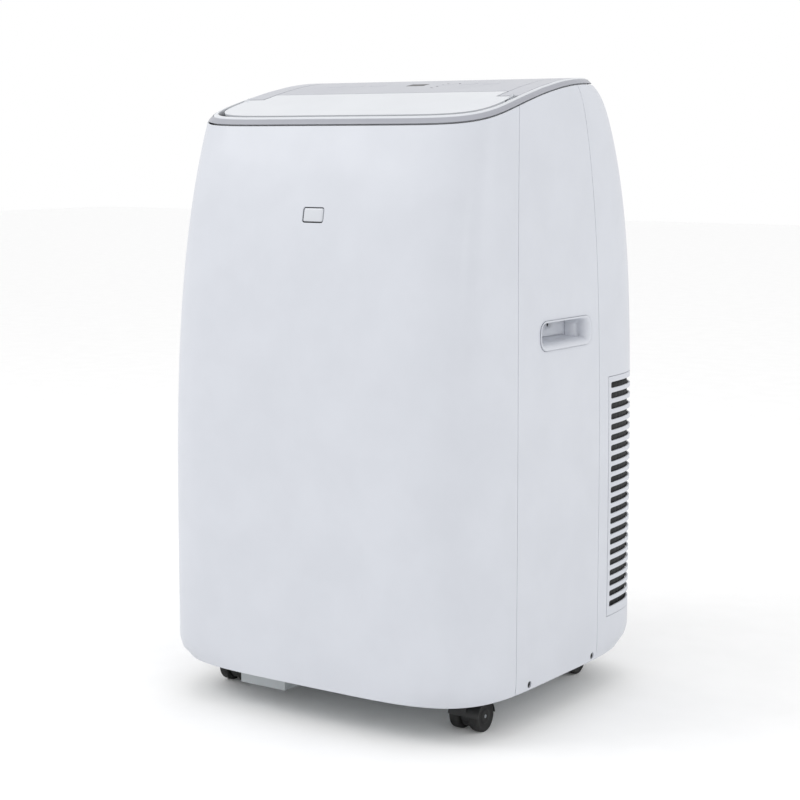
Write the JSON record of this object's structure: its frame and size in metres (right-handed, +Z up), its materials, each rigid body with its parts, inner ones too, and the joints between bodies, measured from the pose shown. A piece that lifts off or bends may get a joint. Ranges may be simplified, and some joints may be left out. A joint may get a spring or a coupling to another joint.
{
  "type": "portable air conditioner",
  "caption": "Upright portable air conditioner on swivel casters: tapered rounded case with side handle recesses, rear intake grilles, hose outlet and a hinged top air flap.",
  "frame": {"origin": "on the floor under the middle of the case", "axes": "+Z up, -Y towards the front face, +X to the right seen from the front"},
  "size_m": [0.44, 0.4226, 0.7268],
  "materials": {
    "shell_white": "fine satin moulded ABS, cool white",
    "grille_white": "moulded ABS grille, cool white",
    "flap_white": "satin white flap",
    "deck_grey": "light grey satin deck",
    "trim_grey": "mid grey slanted trim band",
    "lens_black": "smoked display lens",
    "window_white": "milky receiver window",
    "button_white": "satin button caps",
    "pan_grey": "light grey base pan",
    "tray_grey": "grey drip trays",
    "duct_black": "black moulded duct parts",
    "compressor_black": "black painted steel can",
    "coil_aluminium": "finned coil",
    "pipe_copper": "drawn copper tube",
    "motor_steel": "plated motor case",
    "box_grey": "control box",
    "filter_mesh": "fine nylon filter mesh",
    "rubber_grey": "soft drain plug",
    "gland_black": "cord grommet",
    "caster_black": "black nylon caster body",
    "wheel_black": "black nylon twin wheel",
    "axle_steel": "steel axle pin"
  },
  "bodies": {
    "root": {"front_cover": "shell_white", "side_panel_left": "shell_white", "side_panel_right": "shell_white", "rear_housing": "shell_white", "handle_cup_left": "shell_white", "handle_cup_right": "shell_white", "exhaust_collar": "grille_white", "top_cover": "deck_grey", "control_panel": "deck_grey", "top_trim_ring": "trim_grey", "display_lens": "lens_black", "receiver_window": "window_white", "base_pan": "pan_grey", "partition_tray": "tray_grey", "drip_tray": "tray_grey", "louvre_duct": "duct_black", "blower_housing_upper": "duct_black", "blower_housing_lower": "duct_black", "compressor": "compressor_black", "accumulator": "compressor_black", "condenser_coil": "coil_aluminium", "evaporator_coil": "coil_aluminium", "refrigerant_pipe": "pipe_copper", "blower_motor_upper": "motor_steel", "blower_motor_lower": "motor_steel", "flap_motor": "motor_steel", "control_box": "box_grey", "drain_plug": "rubber_grey", "cord_gland": "gland_black"},
    "flap": {"outlet_flap": "flap_white"},
    "vane_1": {"vane_1": "duct_black"},
    "vane_2": {"vane_2": "duct_black"},
    "vane_3": {"vane_3": "duct_black"},
    "vane_4": {"vane_4": "duct_black"},
    "vane_5": {"vane_5": "duct_black"},
    "vane_link": {"vane_link": "duct_black"},
    "blower_upper": {"blower_wheel_upper": "duct_black"},
    "blower_lower": {"blower_wheel_lower": "duct_black"},
    "caster_front_left": {"caster_fork_front_left": "caster_black", "caster_axle_front_left": "axle_steel"},
    "wheel_front_left": {"caster_wheel_front_left": "wheel_black"},
    "caster_front_right": {"caster_fork_front_right": "caster_black", "caster_axle_front_right": "axle_steel"},
    "wheel_front_right": {"caster_wheel_front_right": "wheel_black"},
    "caster_rear_left": {"caster_fork_rear_left": "caster_black", "caster_axle_rear_left": "axle_steel"},
    "wheel_rear_left": {"caster_wheel_rear_left": "wheel_black"},
    "caster_rear_right": {"caster_fork_rear_right": "caster_black", "caster_axle_rear_right": "axle_steel"},
    "wheel_rear_right": {"caster_wheel_rear_right": "wheel_black"},
    "button_power": {"button_power": "button_white"},
    "button_mode": {"button_mode": "button_white"},
    "button_fan_speed": {"button_fan_speed": "button_white"},
    "button_timer": {"button_timer": "button_white"},
    "button_temperature_down": {"button_temperature_down": "button_white"},
    "button_temperature_up": {"button_temperature_up": "button_white"},
    "grille_lower": {"rear_grille_lower": "grille_white", "filter_lower": "filter_mesh"},
    "grille_upper": {"rear_grille_upper": "grille_white", "filter_upper": "filter_mesh"}
  },
  "joints": [
    {"name": "flap_hinge", "type": "hinge", "parent": "root", "child": "flap", "pos_m": [0, -0.0445, 0.70756], "axis": [-1, 0, 0], "range_deg": [0, 70]},
    {"name": "vane_1_turn", "type": "hinge", "parent": "root", "child": "vane_1", "pos_m": [-0.104, -0.097, 0.655], "axis": [0, 1, 0], "range_deg": [-30, 30]},
    {"name": "vane_2_turn", "type": "hinge", "parent": "root", "child": "vane_2", "pos_m": [-0.052, -0.097, 0.655], "axis": [0, 1, 0], "range_deg": [-30, 30]},
    {"name": "vane_3_turn", "type": "hinge", "parent": "root", "child": "vane_3", "pos_m": [0, -0.097, 0.655], "axis": [0, 1, 0], "range_deg": [-30, 30]},
    {"name": "vane_4_turn", "type": "hinge", "parent": "root", "child": "vane_4", "pos_m": [0.052, -0.097, 0.655], "axis": [0, 1, 0], "range_deg": [-30, 30]},
    {"name": "vane_5_turn", "type": "hinge", "parent": "root", "child": "vane_5", "pos_m": [0.104, -0.097, 0.655], "axis": [0, 1, 0], "range_deg": [-30, 30]},
    {"name": "vane_link_pivot", "type": "hinge", "parent": "vane_1", "child": "vane_link", "pos_m": [-0.104, -0.0585, 0.648], "axis": [0, 1, 0], "range_deg": [-30, 30]},
    {"name": "blower_upper_spin", "type": "hinge", "parent": "root", "child": "blower_upper", "pos_m": [0, -0.0965, 0.54], "axis": [0, 1, 0], "continuous": true},
    {"name": "blower_lower_spin", "type": "hinge", "parent": "root", "child": "blower_lower", "pos_m": [0, 0.106, 0.215], "axis": [0, 1, 0], "continuous": true},
    {"name": "caster_front_left_swivel", "type": "hinge", "parent": "root", "child": "caster_front_left", "pos_m": [-0.168, -0.13, 0.041], "axis": [0, 0, 1], "continuous": true},
    {"name": "wheel_front_left_roll", "type": "hinge", "parent": "caster_front_left", "child": "wheel_front_left", "pos_m": [-0.168, -0.118, 0.018], "axis": [1, 0, 0], "continuous": true},
    {"name": "caster_front_right_swivel", "type": "hinge", "parent": "root", "child": "caster_front_right", "pos_m": [0.168, -0.13, 0.041], "axis": [0, 0, 1], "continuous": true},
    {"name": "wheel_front_right_roll", "type": "hinge", "parent": "caster_front_right", "child": "wheel_front_right", "pos_m": [0.168, -0.118, 0.018], "axis": [1, 0, 0], "continuous": true},
    {"name": "caster_rear_left_swivel", "type": "hinge", "parent": "root", "child": "caster_rear_left", "pos_m": [-0.14, 0.13, 0.041], "axis": [0, 0, 1], "continuous": true},
    {"name": "wheel_rear_left_roll", "type": "hinge", "parent": "caster_rear_left", "child": "wheel_rear_left", "pos_m": [-0.14, 0.142, 0.018], "axis": [1, 0, 0], "continuous": true},
    {"name": "caster_rear_right_swivel", "type": "hinge", "parent": "root", "child": "caster_rear_right", "pos_m": [0.14, 0.13, 0.041], "axis": [0, 0, 1], "continuous": true},
    {"name": "wheel_rear_right_roll", "type": "hinge", "parent": "caster_rear_right", "child": "wheel_rear_right", "pos_m": [0.14, 0.142, 0.018], "axis": [1, 0, 0], "continuous": true},
    {"name": "button_power_press", "type": "slide", "parent": "root", "child": "button_power", "axis": [0, 0.1668, -0.986], "range_m": [0, 0.001], "stiffness_N_per_m": 300, "springref_m": -0.0005},
    {"name": "button_mode_press", "type": "slide", "parent": "root", "child": "button_mode", "axis": [0, 0.1668, -0.986], "range_m": [0, 0.001], "stiffness_N_per_m": 300, "springref_m": -0.0005},
    {"name": "button_fan_speed_press", "type": "slide", "parent": "root", "child": "button_fan_speed", "axis": [0, 0.1668, -0.986], "range_m": [0, 0.001], "stiffness_N_per_m": 300, "springref_m": -0.0005},
    {"name": "button_timer_press", "type": "slide", "parent": "root", "child": "button_timer", "axis": [0, 0.1668, -0.986], "range_m": [0, 0.001], "stiffness_N_per_m": 300, "springref_m": -0.0005},
    {"name": "button_temperature_down_press", "type": "slide", "parent": "root", "child": "button_temperature_down", "axis": [0, 0.1668, -0.986], "range_m": [0, 0.001], "stiffness_N_per_m": 300, "springref_m": -0.0005},
    {"name": "button_temperature_up_press", "type": "slide", "parent": "root", "child": "button_temperature_up", "axis": [0, 0.1668, -0.986], "range_m": [0, 0.001], "stiffness_N_per_m": 300, "springref_m": -0.0005},
    {"name": "grille_lower_pull", "type": "slide", "parent": "root", "child": "grille_lower", "axis": [0, 1, 0], "range_m": [0, 0.06]},
    {"name": "grille_upper_pull", "type": "slide", "parent": "root", "child": "grille_upper", "axis": [0, 1, 0], "range_m": [0, 0.06]}
  ],
  "couplings": [
    {"joint": "vane_2_turn", "follows": "vane_1_turn", "ratio": 1},
    {"joint": "vane_3_turn", "follows": "vane_1_turn", "ratio": 1},
    {"joint": "vane_4_turn", "follows": "vane_1_turn", "ratio": 1},
    {"joint": "vane_5_turn", "follows": "vane_1_turn", "ratio": 1},
    {"joint": "vane_link_pivot", "follows": "vane_1_turn", "ratio": -1}
  ]
}
